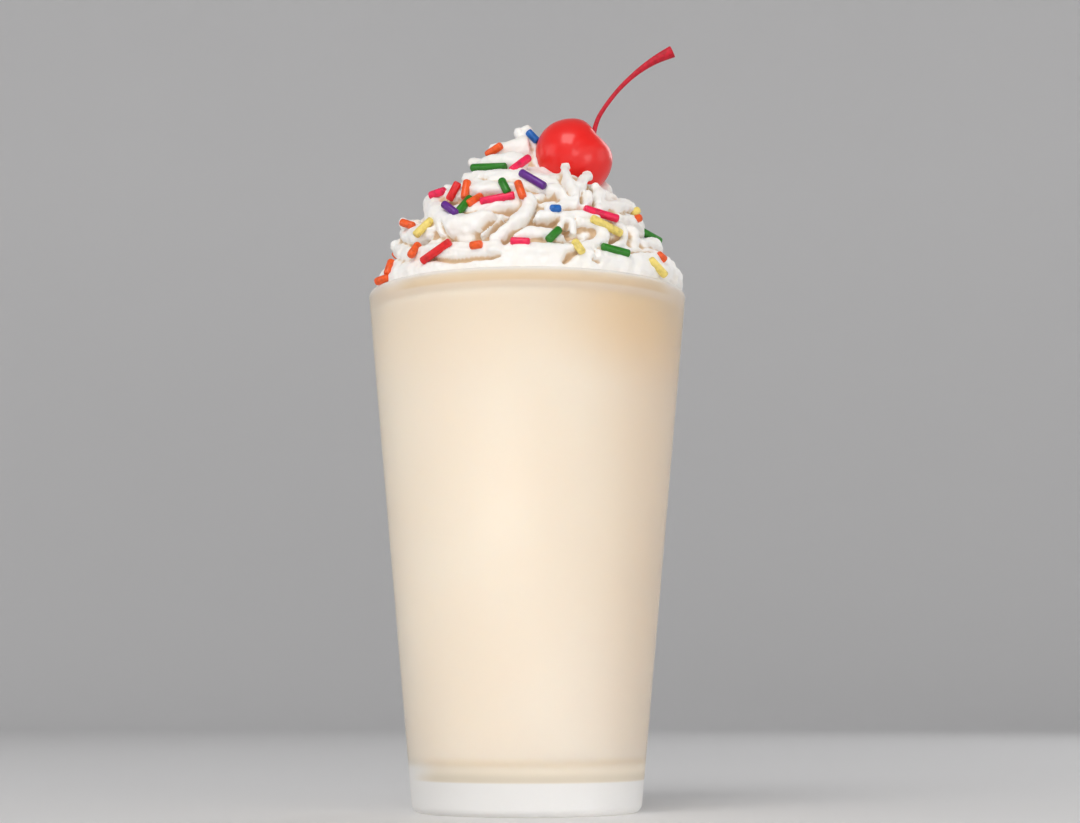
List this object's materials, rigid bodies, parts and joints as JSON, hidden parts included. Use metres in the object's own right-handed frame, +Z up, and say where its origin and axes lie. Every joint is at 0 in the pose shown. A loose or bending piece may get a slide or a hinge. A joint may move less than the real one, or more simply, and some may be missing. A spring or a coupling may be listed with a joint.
{
  "type": "vanilla milkshake",
  "caption": "Vanilla milkshake in a tapered pint glass, heaped with piped whipped cream, rainbow sprinkles and a cherry on its stem.",
  "frame": {"origin": "middle of the glass's foot, on the plane it stands on", "axes": "+Z up along the glass's axis; the front that the picture shows faces -Y, and the cherry and its stem lean to +X"},
  "size_m": [0.089, 0.089, 0.2148],
  "materials": {
    "glass": "slightly hazed clear glass",
    "milkshake": "thick, creamy, moist",
    "whipped_cream": "soft, satin, slightly moist",
    "sprinkles": "satin sugar rods in seven colours",
    "cherry": "glossy, syrupy",
    "cherry_stem": "satin"
  },
  "bodies": {
    "root": {"glass": "glass", "milkshake": "milkshake", "whipped_cream": "whipped_cream", "cherry": "cherry", "cherry_stem": "cherry_stem"}
  },
  "joints": []
}
